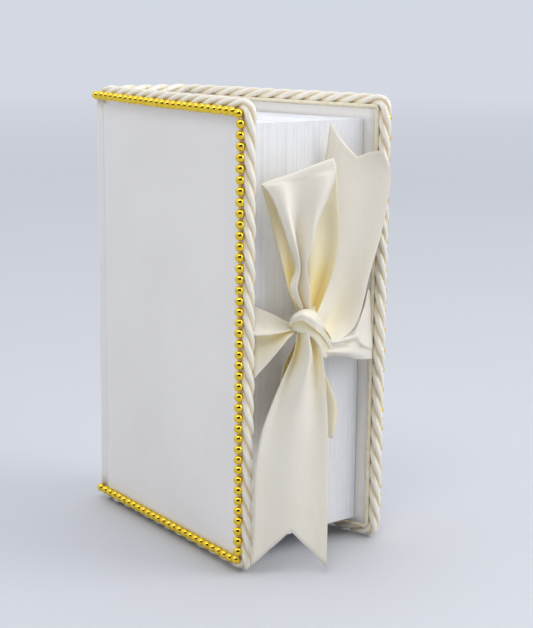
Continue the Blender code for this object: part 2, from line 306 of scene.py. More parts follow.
def satin_cord(name, light, valley_shade, turn):
    """Twisted satin yarn, with painted shade in the valleys between strands. UV x runs round a strand, 0
    where it faces out; y runs along it.
    """
    f = Finish(name)
    facing = f.math("COSINE", f.math("MULTIPLY", f.uv_part(0), 2 * math.pi))
    round_strand = f.math("MULTIPLY", f.uv_part(0), 22.0)
    along_strand = f.math("MULTIPLY", f.uv_part(1), turn)
    thread = f.stripes(f.math("ADD", round_strand, along_strand))
    drift = f.noise(1.0, 3.0, source=f.uv, stretch=(6.0, 60.0, 1.0))
    # Painted shade: the side of each strand that faces into the rope's valleys turns to the darker, warmer
    # valley colour, and the side facing out to the light colour.
    tone = f.math("MULTIPLY_ADD", facing, 0.5, f.math("MULTIPLY", drift, 0.35))
    between = tuple(0.6 * a + 0.4 * b for a, b in zip(light, valley_shade))
    shade = f.ramp(tone, (0.05, valley_shade), (0.45, between), (0.72, light))
    f.colour(f.mix(f.math("MULTIPLY", thread, 0.25), shade, (0.98, 0.95, 0.87)))
    f.bump(f.math("ADD", thread, f.math("MULTIPLY", drift, 1.5)), 0.35, 0.00010)
    f.roughness(drift, 0.18, 0.19)
    f.set("Sheen Weight", 0.25)
    f.set("Sheen Roughness", 0.35)
    f.set("Specular IOR Level", 0.9)
    f.set("Anisotropic", 0.5)
    f.set("Coat Weight", 0.45)
    f.set("Coat Roughness", 0.12)
    return f.material


def gilt():
    f = Finish("gilt_bead")
    worn = f.noise(900.0, 3.0)
    f.colour(f.ramp(worn, (0.3, (0.86, 0.58, 0.03)), (0.7, (0.96, 0.72, 0.08))))
    f.bump(f.noise(700.0, 2.0), 0.04, 0.00005)
    f.roughness(worn, 0.06, 0.04)
    f.set("Metallic", 1.0)
    return f.material


def bead_thread():
    f = Finish("bead_thread")
    f.colour(f.ramp(f.noise(1200.0), (0.3, (0.62, 0.42, 0.16)), (0.7, (0.86, 0.74, 0.50))))
    f.bump(f.noise(3000.0), 0.3, 0.0001)
    f.set("Roughness", 0.5)
    return f.material


def glue_and_shade():
    # Amber of the glue, which also stands in as painted shade over the rope's shaded inner side.
    f = Finish("old_glue_and_painted_shade")
    f.colour(f.ramp(f.noise(500.0, 4.0), (0.3, (0.80, 0.70, 0.47)), (0.7, (0.90, 0.84, 0.68))))
    f.bump(f.noise(900.0), 0.5, 0.0003)
    f.set("Roughness", 0.42)
    return f.material


def ribbon_satin():
    """Satin: smooth long floats across the width, soft sheen, light shining through, stitched selvages,
    and painted yellow where light gathers in creases, near the knot and inside the loops.
    """
    f = Finish("ribbon_satin")
    across, along = f.uv_part(0), f.uv_part(1)
    edge = f.math("ABSOLUTE", f.math("SUBTRACT", across, 0.5))
    selvage = f.math("GREATER_THAN", edge, 0.468)
    stitches_per_width = 34.0
    stitches = f.math("MULTIPLY", selvage, f.stripes(f.math("MULTIPLY", along, stitches_per_width)))
    pale = f.ramp(f.noise(60.0, 3.0), (0.3, (0.940, 0.915, 0.845)), (0.7, (0.955, 0.938, 0.885)))
    # Painted light: a per-point attribute blends the pale satin toward painted yellow where light gathers
    # in creases, near the knot and inside the loops.
    painted_glow = f.add("ShaderNodeAttribute", attribute_name="painted_glow").outputs["Fac"]
    yellow = f.ramp(painted_glow, (0.45, (0.990, 0.91, 0.56)), (1.0, (0.985, 0.81, 0.34)))
    base = f.mix(painted_glow, pale, yellow)
    f.colour(f.mix(f.math("MULTIPLY", stitches, 0.45), base, (0.78, 0.70, 0.50)))
    floats = f.noise(1.0, 2.0, source=f.uv, stretch=(8.0, 420.0, 1.0))
    weave = f.bump(f.math("ADD", f.math("MULTIPLY", floats, 0.6), stitches), 0.10, 0.00010)
    f.bump(f.noise(1.0, 2.0, source=f.uv, stretch=(5.0, 3.0, 1.0)), 0.20, 0.0012, weave)
    f.roughness(floats, 0.14, 0.22)
    f.set("Sheen Weight", 0.25)
    f.set("Sheen Roughness", 0.4)
    f.set("Specular IOR Level", 1.0)
    f.set("Anisotropic", 0.45)
    f.mixed_with(0.24, f.add("ShaderNodeBsdfTranslucent", [("Color", (0.97, 0.86, 0.56, 1.0))]))
    return f.material


FINISH = {
    "cloth": cover_cloth(),
    "board": board(),
    "endpaper": paper("endpaper", (0.82, 0.805, 0.775), (0.80, 0.785, 0.755)),
    "paper": paper("leaf_paper", (0.875, 0.885, 0.91), (0.775, 0.79, 0.825)),
    "lining": mull(),
    # The second colour of each cord is painted shade for the valleys between its strands.
    "headband": satin_cord("headband_silk", (0.88, 0.84, 0.72), (0.62, 0.50, 0.28), 900.0),
    "rope": satin_cord("rope_satin", (0.925, 0.885, 0.785), (0.74, 0.61, 0.36), 260.0),
    "bead": gilt(),
    "thread": bead_thread(),
    "glue_and_shade": glue_and_shade(),
    "ribbon": ribbon_satin(),
}


# ---------------------------------------------------------------- mesh tools

class Shape:
    """Collects surfaces made from rows of points into one mesh."""

    def __init__(self):
        self.points = []
        self.faces = []
        self.uvs = []
        self.painted_glow = None

    def rows(self, grid, ring=False, caps=False, uv_at=None):
        """Joins neighbouring rows with quads; ring closes every row, caps closes the first and last."""
        grid = np.asarray(grid, float)
        count, width = grid.shape[:2]
        first = len(self.points)
        self.points += [tuple(p) for p in grid.reshape(-1, 3)]
        across = width if ring else width - 1
        uv_at = uv_at or (lambda row, column: (column / across, row / (count - 1)))
        for row in range(count - 1):
            for column in range(across):
                after = (column + 1) % width
                low, high = first + row * width, first + (row + 1) * width
                self.faces.append((low + column, low + after, high + after, high + column))
                self.uvs += [uv_at(row, column), uv_at(row, column + 1)]
                self.uvs += [uv_at(row + 1, column + 1), uv_at(row + 1, column)]
        if caps:
            last = first + (count - 1) * width
            self.faces.append(tuple(first + k for k in reversed(range(width))))
            self.faces.append(tuple(last + k for k in range(width)))
            self.uvs += [uv_at(0, k) for k in reversed(range(width))]
            self.uvs += [uv_at(count - 1, k) for k in range(width)]
        return self

    def piece(self, name, finish, smooth=True):
        mesh = bpy.data.meshes.new(name)
        mesh.from_pydata([tuple(p) for p in row_frame(self.points)], [], self.faces)
        layer = mesh.uv_layers.new(name="UVMap")
        layer.data.foreach_set("uv", np.array(self.uvs, np.float32).ravel())
        if self.painted_glow is not None:
            mesh.attributes.new("painted_glow", "FLOAT", "POINT").data.foreach_set("value", self.painted_glow)
        mesh.polygons.foreach_set("use_smooth", [smooth] * len(mesh.polygons))
        mesh.materials.append(FINISH[finish])
        mesh.validate()
        made = bpy.data.objects.new(name, mesh)
        bpy.context.scene.collection.objects.link(made)
        return made


def thicken(made, thickness, offset):
    """Gives a sheet its thickness: offset -1 behind its face, 1 in front of it, 0 half each way."""
    shell = made.modifiers.new("thickness", "SOLIDIFY")
    shell.thickness = thickness * MM
    shell.offset = offset


def catmull(points, per_span):
    """A smooth line through points, per_span steps between neighbours; works on rows of points too."""
    points = np.asarray(points, float)
    padded = np.concatenate([[2 * points[0] - points[1]], points, [2 * points[-1] - points[-2]]])
    line = []
    for k in range(1, len(padded) - 2):
        a, b, c, d = padded[k - 1:k + 3]
        for step in range(per_span):
            t = step / per_span
            line.append(0.5 * (2 * b + (c - a) * t + (2 * a - 5 * b + 4 * c - d) * t ** 2
                               + (3 * b - a - 3 * c + d) * t ** 3))
    line.append(points[-1])
    return np.array(line)


def lengths_along(line):
    """How far along a line each of its points lies."""
    return np.concatenate([[0.0], np.cumsum(np.linalg.norm(np.diff(line, axis=0), axis=1))])


def resample(line, step):
    """Evenly spaced points along a line, about a step apart."""
    line = np.asarray(line, float)
    ends = lengths_along(line)
    count = max(2, int(round(ends[-1] / step)) + 1)
    at = np.linspace(0.0, ends[-1], count)
    return np.stack([np.interp(at, ends, line[:, k]) for k in range(3)], axis=1)


def tangents_of(line):
    tangents = np.gradient(line, axis=0)
    return tangents / np.linalg.norm(tangents, axis=1)[:, None]


def frames(line, first_normal):
    """Normal and binormal, carried along a line without twisting."""
    tangents = tangents_of(line)
    normal = np.asarray(first_normal, float)
    normals = []
    for tangent in tangents:
        normal = normal - tangent * normal.dot(tangent)
        normal /= np.linalg.norm(normal)
        normals.append(normal)
    normals = np.array(normals)
    return normals, np.cross(tangents, normals)


def strand_tube(shape, line, radius, outward, sides):
    """A round tube; UV x is 0 on the side that faces outward."""
    tangents = tangents_of(line)
    side = outward - tangents * np.sum(outward * tangents, axis=1)[:, None]
    side /= np.linalg.norm(side, axis=1)[:, None]
    other = np.cross(tangents, side)
    angles = np.linspace(0.0, 2 * math.pi, sides, endpoint=False)
    ring = (np.cos(angles)[None, :, None] * side[:, None] + np.sin(angles)[None, :, None] * other[:, None])
    lengths = lengths_along(line) * MM
    shape.rows(line[:, None] + ring * radius, ring=True, caps=True,
               uv_at=lambda row, column: (column / sides, lengths[row]))


def plain_tube(shape, line, radius):
    """A thin round tube whose UV has no outward side to follow."""
    outward = np.tile((0.3, 0.5, 0.81), (len(line), 1))
    strand_tube(shape, line, radius, outward, 8)


def twisted(name, line, strands, strand_radius, offset, turns, finish, step=0.8, sides=12):
    """A rope of strands wound left-handed about line, with `turns` turns over its length."""
    line = resample(line, step)
    normals, binormals = frames(line, UP)
    along = np.linspace(0.0, 1.0, len(line))
    shape = Shape()
    for k in range(strands):
        angle = -2 * math.pi * (turns * along - k / strands)
        out = np.cos(angle)[:, None] * normals + np.sin(angle)[:, None] * binormals
        wander = 0.05 * np.sin(23.0 * along * math.pi + 2.1 * k)
        loose = offset * (1.0 + wander + 0.03 * np.sin(61.0 * along + k))
        strand_tube(shape, line + out * loose[:, None], strand_radius, out, sides)
    return shape.piece(name, finish)


def corner(centre, start, end, radius):
    """A quarter turn about centre from the direction start to the direction end."""
    start, end = np.asarray(start, float), np.asarray(end, float)
    angles = np.linspace(0.0, math.pi / 2, 6)
    return [np.asarray(centre) + radius * (math.cos(a) * start + math.sin(a) * end) for a in angles]


def cover_to_book(side, points):
    """Points of a cover, in its hinge's axes, to book axes: the back cover stands ajar."""
    points = np.asarray(points, float)
    turn = SPLAY if side > 0 else 0.0
    c, s = math.cos(turn), math.sin(turn)
    x, y = points[..., 0], points[..., 1]
    return np.stack([c * x - s * y + side * HINGE_X, s * x + c * y + HINGE_Y, points[..., 2]], axis=-1)


def edge_line(side, depth, fore, low, high, radius, near):
    """From near the hinge at the head, round the cover's three edges, and back at the tail."""
    x = -side * depth
    up, down, ahead = (0, 0, 1), (0, 0, -1), (0, -1, 0)
    line = [(x, near, high)]
    line += corner((x, fore + radius, high - radius), up, ahead, radius)
    line += corner((x, fore + radius, low + radius), ahead, down, radius)
    line += [(x, near, low)]
    return cover_to_book(side, line)


# ---------------------------------------------------------------- rope and beads

SIDES = {"front": -1, "back": 1}


def case_rope(label, side):
    """One rope from the middle of the spine round a cover and back, so it turns the corner unbroken."""
    fore = -(ROPE_REACH + HINGE_Y)
    cover_line = edge_line(side, ROPE_DEPTH, fore, ROPE_LOW, ROPE_HIGH, ROPE_CORNER, ROPE_NEAR)
    spine_xs = (0.0, side * ROPE_STRAIGHT / 2, side * ROPE_STRAIGHT)
    head = [np.array((x, 0.0, ROPE_HIGH)) for x in spine_xs]
    tail = [np.array((x, 0.0, ROPE_LOW)) for x in reversed(spine_xs)]
    bend_x, bend_y = side * 16.2, -0.7
    bend_high = catmull([head[-1], (bend_x, bend_y, ROPE_HIGH), cover_line[0]], 5)
    bend_low = catmull([cover_line[-1], (bend_x, bend_y, ROPE_LOW), tail[0]], 5)
    line = np.concatenate([head[:-1], bend_high, cover_line[1:-1], bend_low, tail[1:]])
    line = resample(line, 2.0)
    if side < 0:
        low_down = np.clip(1.0 - (line[:, 2] - ROPE_LOW) / 4.0, 0.0, 1.0)
        off_spine = np.clip((-6.0 - line[:, 1]) / 6.0, 0.0, 1.0)
        line += (low_down * off_spine)[:, None] * FRONT_FOOT_SHIFT
    rope = twisted(f"{label}_satin_rope", line, 3, STRAND_RADIUS, STRAND_OFFSET, ROPE_TURNS, "rope")
    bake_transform(rope)
    if side < 0:
        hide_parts("front_rope", "spine_rope_head")
    else:
        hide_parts("back_rope", "spine_rope_tail")


def bead_at(shape, centre, along, radius):
    """A moulded bead: round, with a small flat collar where the thread goes in."""
    profile = [(-0.98, 0.26), (-0.93, 0.42), (-0.75, 0.68), (-0.45, 0.90), (0.0, 1.0)]
    profile += [(-x, r) for x, r in reversed(profile[:-1])]
    along = along / np.linalg.norm(along)
    side = np.cross(along, (0.31, 0.55, 0.77))
    side /= np.linalg.norm(side)
    other = np.cross(along, side)
    angles = np.linspace(0.0, 2 * math.pi, 16, endpoint=False)
    rows = [[centre + radius * (x * along + r * (math.cos(a) * side + math.sin(a) * other)) for a in angles]
            for x, r in profile]
    shape.rows(rows, ring=True, caps=True)


def bead_string(name, line, body, node, seed):
    """Beads on a thread, at an even pitch and each a hair out of line."""
    pick = random.Random(seed)
    places = resample(line, BEAD_PITCH)
    directions = np.gradient(places, axis=0)
    shape = Shape()
    for centre, along in zip(places, directions):
        loose = np.array([pick.uniform(-0.05, 0.05) for _ in range(3)])
        bead_at(shape, centre + loose, along, BEAD_RADIUS * pick.uniform(0.985, 1.01))
    beads = shape.piece(name, "bead")
    core = Shape()
    plain_tube(core, resample(line, 1.0), THREAD_RADIUS)
    thread = core.piece(name + "_thread", "thread")
    for made in (beads, thread):
        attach(made, body)
    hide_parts(node)


def bead_line(side):
    """Beside the rope; the row along the head climbs a little towards the hinge."""
    x, near, middle = side * 1.55, -0.9, -45.0
    fore = -90.85 - HINGE_Y
    head_near, head_middle, head_fore = 150.9, 150.2, 150.0
    tail_near, tail_fore = 4.1, 4.2
    bend = 2.3
    line = [(x, near, head_near), (x, middle, head_middle)]
    line += corner((x, fore + bend, head_fore - bend), (0, 0, 1), (0, -1, 0), bend)
    line += corner((x, fore + bend, tail_fore + bend), (0, -1, 0), (0, 0, -1), bend)
    line += [(x, near, tail_near)]
    return cover_to_book(side, line)


for label, side in SIDES.items():
    case_rope(label, side)
    bead_string(f"{label}_gilt_beads", bead_line(side), f"{label}_cover", f"{label}_bead_string", 3 + side)
for label, z in SPINE_BEAD_ROWS.items():
    row = [(-14.0, 3.3, z), (14.0, 3.3, z)]
    bead_string(f"spine_gilt_beads_{label}", row, "spine", f"spine_beads_{label}", int(z))


# ---------------------------------------------------------------- case: cloth, boards, linings

def rolled_steps(low, high, count, both):
    """Steps over a face, each a place and its depth: down a wall and over a rolled edge at the low
    side, flat across, and the same at the high side if both."""
    roll = 0.7
    wall = [(low, 2.95), (low, 1.6)]
    angles = np.linspace(0, math.pi / 2, 6)
    turn = [(low + roll * (1 - math.cos(a)), roll * (1 - math.sin(a))) for a in angles]
    flat_end = high - (roll if both else 0.0)
    steps = wall + turn + [(v, 0.0) for v in np.linspace(low + roll, flat_end, count)[1:]]
    if both:
        steps += [(low + high - v, depth) for v, depth in reversed(wall + turn)]
    return steps


def cover_skin(label, side):
    """The cloth over a board: softly padded middle, rolled edges, walls down the board's edges."""
    padding, pad_from, pad_over = 0.32, 2.0, 9.0
    y_low, y_high = BOARD_FORE - TURN_IN, BOARD_NEAR + 2.0
    across = rolled_steps(y_low, y_high, 48, False)
    upward = rolled_steps(CLOTH_LOW, CLOTH_HIGH, 76, True)
    rows = []
    for z, z_depth in upward:
        row = []
        for y, y_depth in across:
            inside = min(y - y_low, 0.45 * (y_high - y) + 2.0, z - CLOTH_LOW, CLOTH_HIGH - z)
            share = min(max((inside - pad_from) / pad_over, 0.0), 1.0)
            rise = padding * share * share * (3 - 2 * share)
            rise += 0.03 * math.sin(0.11 * y + 0.07 * z) * share
            # Next to the hinge it dips, so that the hinge's cloth lies over it.
            under = 0.3 * max((y - BOARD_NEAR + 0.4) / 2.4, 0.0) ** 2
            depth = max(y_depth, z_depth) if (y_depth or z_depth) else under - rise
            row.append((-side * depth, y, z))
        rows.append(row)
    grid = cover_to_book(side, rows)
    made = Shape().rows(grid if side < 0 else grid[:, ::-1]).piece(f"{label}_cloth_skin", "cloth")
    thicken(made, CLOTH_THICK, -1.0)
    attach(made, f"{label}_cover")
    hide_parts(f"{label}_cover_cloth")


def hinge_skin(label, side):
    """The cloth from the spine round the corner to the board's near edge, with the pressed groove."""
    route = [(15.0, 1.85), (16.6, 2.0), (18.0, 2.3), (18.8, 2.3), (19.1, 1.6), (19.05, 0.3), (18.85, -1.2),
             (18.68, -2.4), (18.65, -3.8), (18.6, -5.5), (18.4, -7.5)]
    line = catmull([(side * x, y, 0.0) for x, y in route], 4)
    if side > 0:
        turned = cover_to_book(side, line - np.array((HINGE_X, HINGE_Y, 0.0)))
        share = np.clip((HINGE_Y - line[:, 1]) / 1.6, 0.0, 1.0)[:, None]
        line = line * (1 - share) + turned * share
    heights = np.linspace(CLOTH_LOW, CLOTH_HIGH, 24)
    rows = np.array([[(x, y, z) for x, y, _ in line] for z in heights])
    made = Shape().rows(rows if side > 0 else rows[:, ::-1]).piece(f"{label}_hinge_skin", "cloth")
    thicken(made, CLOTH_THICK, 1.0)
    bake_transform(made)
    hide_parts(f"{label}_hinge_cloth")


def spine_skin():
    """The cloth across the spine, slightly crowned."""
    half, level, crown = 15.0, 1.85, 0.3
    xs = np.linspace(half, -half, 24)
    heights = np.linspace(CLOTH_LOW, CLOTH_HIGH, 40)
    rows = [[(x, level + crown * math.cos(x / half * math.pi / 2), z) for x in xs] for z in heights]
    made = Shape().rows(rows).piece("spine_skin", "cloth")
    thicken(made, CLOTH_THICK, -1.0)
    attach(made, "spine")
    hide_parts("spine_cloth")


def glue_and_shade_line(label, side):
    """An amber line between the rope and the board's inner edge: partly glue, and thick enough that its
    amber also covers the rope's shaded inner side as painted shade.
    """
    pick = random.Random(11 + side)
    depth, fore, low, high, bend, near = 3.0, -91.25, 4.0, 150.2, 1.0, -8.0
    line = resample(edge_line(side, depth, fore, low, high, bend, near), 0.9)
    line = line + np.array([[pick.uniform(-0.07, 0.07) for _ in range(3)] for _ in line])
    shape = Shape()
    plain_tube(shape, line, GLUE_AND_SHADE_RADIUS)
    made = shape.piece(f"{label}_glue_and_shade_line", "glue_and_shade")
    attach(made, f"{label}_cover")


def end_paper(label, side):
    """Paper pasted over the inside of the board, right up to the rope, its edges eased."""
    fore, near, low, high = -90.75, -5.4, 4.55, 149.65
    rows = []
    for v in np.linspace(0.0, 1.0, 40):
        row = []
        for u in np.linspace(0.0, 1.0, 30):
            y, z = fore + (near - fore) * u, low + (high - low) * v
            inside = min(y - fore, near - y, z - low, high - z)
            depth = 3.38 - 0.25 * math.exp(-inside / 0.5) + 0.02 * math.sin(0.35 * z + 0.2 * y)
            row.append((-side * depth, y, z))
        rows.append(row)
    grid = cover_to_book(side, rows)
    shape = Shape().rows(grid if side > 0 else grid[:, ::-1], uv_at=lambda row, column: (0.5, 0.01 * row))
    made = shape.piece(f"{label}_endpaper", "endpaper")
    thicken(made, PAPER_THICK, -1.0)
    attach(made, f"{label}_cover")
    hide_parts(f"{label}_pastedown")


def cad_kept(node, finish):
    """Shows a CAD solid as it is, in its own material, with a board's edges softened."""
    cad = frame["nodes"][node]
    cad.data.materials.clear()
    cad.data.materials.append(FINISH[finish])
    if "board" in node:
        soften = cad.modifiers.new("softened_edges", "BEVEL")
        soften.width = 0.12 * MM
        soften.segments = 2


def headband(label, z):
    """A fine silk cord across the block's back at its head or tail."""
    half, bulge = 14.0, 0.25
    xs = np.linspace(-half, half, 15)
    line = [(x, FOLD_Y - bulge * math.cos(x / half * math.pi / 2), z) for x in xs]
    band = twisted(f"headband_{label}_cord", line, 4, 0.42, 0.44, 22.0, "headband", step=0.4, sides=8)
    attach(band, "spine")
    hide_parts(f"headband_{label}")


for label, side in SIDES.items():
    end_paper(label, side)
    cover_skin(label, side)
    hinge_skin(label, side)
    glue_and_shade_line(label, side)
spine_skin()

CAD_KEPT = {
    "front_board": "board",
    "back_board": "board",
    "spine_board": "board",
    "spine_lining": "lining",
    "front_flyleaf": "endpaper",
    "back_flyleaf": "endpaper",
}
for node, finish in CAD_KEPT.items():
    cad_kept(node, finish)
for label, z in HEADBANDS.items():
    headband(label, z)


# ---------------------------------------------------------------- leaves

def leaf_plan(share, fold_share):
    """A leaf's line in plan from its signature's fold to the fore edge."""
    start = np.array((-BLOCK_HALF + 2 * BLOCK_HALF * share, FOLD_Y))
    fold = np.array((-BLOCK_HALF + 2 * BLOCK_HALF * fold_share, FOLD_Y))
    fore = np.array((-BLOCK_HALF, FORE_Y)) * (1 - share) + FORE_RIGHT * share
    line = []
    for t in np.linspace(0.0, 1.0, 10) ** 1.3:
        swell = min(t / 0.18, 1.0)
        root = fold + (start - fold) * swell * swell * (3 - 2 * swell)
        line.append(root * (1 - t) + fore * t if t > 0 else fold)
    return np.array(line)


def signature(index):
    """A folded section: single leaves that share its fold, each trimmed a hair differently."""
    pick = random.Random(100 + index)
    spacing = 2 * BLOCK_HALF / SIGNATURES / LEAVES
    shape = Shape()
    for leaf in range(LEAVES):
        share = (index + (leaf + 0.5) / LEAVES) / SIGNATURES
        line = leaf_plan(share, (index + 0.5) / SIGNATURES)
        trim = pick.uniform(-0.06, 0.06)
        line[-1, 1] += trim
        at = np.linspace(0, 1, len(line))
        widths = np.interp(at, (0.0, 0.3, 1.0), (0.05, spacing * 0.95, spacing * 1.67))
        widths *= pick.uniform(0.95, 1.02)
        low = BLOCK_LOW + pick.uniform(0.0, 0.12)
        high = BLOCK_HIGH - pick.uniform(0.0, 0.12)
        tone = index + leaf / LEAVES + 0.01
        left = [(x - w / 2, y) for (x, y), w in zip(line, widths)]
        right = [(x + w / 2, y) for (x, y), w in zip(line, widths)]
        outline = left + right[::-1]
        rows = [[(x, y, z) for x, y in outline] for z in (low, high)]
        shape.rows(rows, ring=True, caps=True, uv_at=lambda row, column: (tone, row * 0.14))
    made = shape.piece(f"signature_{index + 1:02d}_leaves", "paper", smooth=False)
    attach(made, f"signature_{index + 1:02d}")
    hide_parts(f"signature_{index + 1:02d}")


for index in range(SIGNATURES):
    signature(index)


# ---------------------------------------------------------------- ribbon

# Sections along each gathered ribbon: its two edge points, and how deep its pleats may be.
UPPER_LOOP = (
    ((-0.8, -97.0, 84.2), (2.0, -97.0, 83.6), 1.2),
    ((-2.4, -98.2, 88.2), (1.6, -98.2, 87.4), 1.6),
    ((-6.0, -98.0, 95.0), (1.2, -98.5, 94.0), 2.6),
    ((-3.6, -97.8, 101.4), (-0.2, -98.5, 102.2), 2.4),
    ((-6.0, -96.8, 109.2), (3.0, -98.4, 110.2), 2.6),
    ((-7.8, -95.6, 115.8), (5.4, -98.8, 117.2), 1.7),
    ((-10.6, -94.2, 123.4), (8.4, -100.2, 125.4), 0.9),
    ((-13.0, -93.0, 126.8), (10.4, -100.0, 131.0), 0.6),
    ((-13.2, -91.6, 127.4), (10.2, -98.8, 135.2), 0.4),
    ((-11.2, -89.8, 126.2), (13.2, -96.6, 131.8), 0.5),
    ((-9.4, -89.2, 121.6), (14.2, -96.6, 119.8), 0.7),
    ((-5.4, -89.2, 109.8), (15.4, -96.0, 109.6), 1.2),
    ((-3.0, -90.0, 100.8), (14.0, -95.6, 99.4), 1.5),
    ((-1.4, -91.4, 92.8), (10.8, -95.2, 91.2), 1.6),
    ((0.8, -93.0, 86.8), (7.8, -95.0, 85.4), 1.6),
    ((1.4, -94.6, 82.8), (5.6, -94.8, 82.0), 1.2),
)
UPPER_TAIL = (
    ((1.8, -95.0, 84.2), (5.4, -97.5, 79.0), 0.8),
    ((7.0, -92.0, 87.4), (13.2, -98.0, 75.0), 1.2),
    ((9.2, -89.8, 92.8), (22.2, -97.6, 80.6), 1.2),
    ((11.2, -88.8, 100.4), (28.0, -96.6, 96.0), 0.9),
    ((12.2, -88.2, 110.2), (33.0, -96.0, 109.2), 0.5),
    ((13.4, -87.8, 121.2), (35.6, -96.4, 122.6), 0.4),
    ((15.4, -87.6, 133.4), (35.4, -96.8, 130.0), 0.35),
    ((16.8, -88.4, 146.0), (31.6, -97.2, 136.4), 0.3),
)
LOWER_TAIL = (
    ((-1.8, -98.2, 84.2), (2.4, -98.6, 82.8), 1.2),
    ((-3.4, -99.2, 80.4), (3.0, -100.0, 78.8), 1.6),
    ((-4.4, -98.6, 73.4), (5.4, -101.0, 72.6), 2.2),
    ((-7.2, -97.4, 66.4), (5.8, -102.0, 65.2), 2.0),
    ((-10.8, -96.6, 58.4), (5.8, -103.2, 57.2), 1.3),
    ((-14.8, -96.2, 48.6), (5.4, -104.8, 46.2), 0.7),
    ((-17.2, -95.9, 35.6), (4.8, -106.0, 32.4), 0.45),
    ((-17.4, -95.7, 19.4), (4.0, -107.2, 18.6), 0.4),
    ((-18.2, -95.6, 3.4), (3.2, -108.0, 2.6), 0.4),
)
LOWER_LOOP = (
    ((0.0, -96.0, 81.6), (3.6, -96.4, 80.6), 1.0),
    ((-2.2, -96.2, 75.6), (6.8, -96.8, 73.4), 1.8),
    ((-6.2, -95.6, 68.2), (10.4, -96.8, 63.4), 2.0),
    ((-6.8, -94.8, 57.8), (14.6, -96.4, 54.2), 1.6),
    ((-3.8, -93.2, 46.8), (15.8, -94.4, 43.6), 0.9),
    ((-2.0, -91.2, 44.0), (17.8, -91.8, 40.6), 0.7),
    ((-2.4, -89.4, 53.2), (20.6, -90.4, 49.2), 0.9),
    ((0.2, -89.4, 65.0), (15.8, -90.4, 61.6), 1.6),
    ((2.2, -91.6, 74.8), (9.0, -92.4, 73.2), 1.8),
    ((2.0, -93.8, 80.4), (5.8, -94.2, 79.2), 1.2),
)
# Sections along each folded ribbon: points from edge to edge that hold its folds.
FRONT_LEAD = (
    ((-12.6, -86.6, 88.0), (-14.0, -88.8, 85.2), (-15.6, -91.0, 82.6), (-16.6, -92.6, 79.6),
     (-14.8, -90.0, 79.4), (-15.2, -90.5, 73.2), (-15.6, -91.4, 65.2)),
    ((-12.0, -87.6, 87.6), (-13.6, -90.0, 85.0), (-15.4, -92.6, 82.4), (-16.6, -94.4, 80.0),
     (-14.8, -91.8, 79.8), (-15.0, -92.3, 74.0), (-16.2, -94.0, 66.8)),
    ((-9.2, -88.8, 86.2), (-10.8, -91.2, 84.2), (-12.8, -93.8, 82.4), (-14.2, -95.8, 80.2),
     (-12.4, -93.4, 79.8), (-12.6, -93.9, 75.4), (-13.6, -95.4, 70.0)),
    ((-6.4, -90.8, 84.6), (-8.0, -93.0, 83.4), (-9.8, -95.4, 82.0), (-10.8, -97.0, 80.4),
     (-9.4, -95.0, 80.0), (-9.8, -95.5, 77.2), (-10.6, -96.8, 73.8)),
    ((-4.2, -93.2, 83.0), (-5.6, -95.0, 82.4), (-6.8, -96.8, 81.6), (-7.6, -97.9, 80.8),
     (-6.6, -96.5, 80.6), (-7.0, -97.0, 79.2), (-7.6, -97.8, 77.4)),
    ((-3.0, -95.5, 82.4), (-3.6, -96.5, 81.8), (-4.4, -97.4, 81.4), (-4.6, -97.8, 81.0),
     (-4.0, -97.0, 81.0), (-4.4, -97.5, 80.4), (-4.8, -98.0, 79.6)),
    ((0.6, -95.6, 81.8), (0.0, -96.5, 81.8), (-0.4, -97.0, 81.2), (-0.6, -97.2, 81.0),
     (-0.2, -96.8, 80.8), (-0.6, -97.3, 80.6), (-0.6, -97.4, 80.0)),
)
BACK_LEAD = (
    ((3.6, -96.0, 79.8), (3.0, -96.8, 79.8), (2.6, -97.2, 79.2), (3.4, -96.4, 78.6),
     (3.0, -96.8, 78.4), (2.8, -97.2, 77.8), (3.4, -96.4, 77.4)),
    ((8.2, -97.0, 78.2), (7.2, -98.2, 77.8), (6.8, -98.8, 77.0), (8.0, -97.4, 75.2),
     (7.2, -98.4, 74.2), (6.8, -98.8, 73.0), (7.6, -97.4, 71.4)),
    ((13.8, -96.2, 76.0), (12.0, -98.6, 76.0), (11.6, -99.0, 75.2), (13.2, -97.0, 73.6),
     (12.4, -98.0, 72.8), (12.0, -98.6, 72.0), (12.6, -97.4, 70.8)),
    ((19.8, -94.4, 76.2), (17.8, -97.0, 76.4), (16.8, -98.2, 75.4), (18.6, -96.0, 73.4),
     (17.8, -97.0, 72.2), (17.6, -97.4, 70.8), (18.8, -96.0, 69.4)),
    ((25.4, -92.8, 78.0), (23.4, -95.2, 77.0), (21.8, -97.2, 75.6), (23.6, -95.2, 73.6),
     (23.2, -95.6, 71.6), (23.0, -96.0, 69.8), (24.0, -94.8, 67.8)),
    ((30.4, -91.0, 83.0), (29.6, -92.0, 79.4), (29.2, -93.0, 75.6), (27.2, -95.4, 72.0),
     (28.8, -93.6, 70.2), (28.6, -94.0, 68.2), (29.2, -93.2, 66.4)),
    ((33.4, -89.6, 88.6), (33.6, -90.0, 82.8), (33.6, -90.4, 76.6), (32.8, -92.0, 70.2),
     (33.6, -91.0, 68.4), (33.6, -91.0, 66.6), (33.8, -91.0, 65.4)),
    ((36.0, -88.0, 86.0), (36.4, -88.0, 80.8), (36.6, -88.4, 75.2), (36.6, -89.0, 69.4),
     (37.0, -88.6, 67.8), (37.0, -88.6, 66.2), (37.0, -88.6, 65.0)),
)
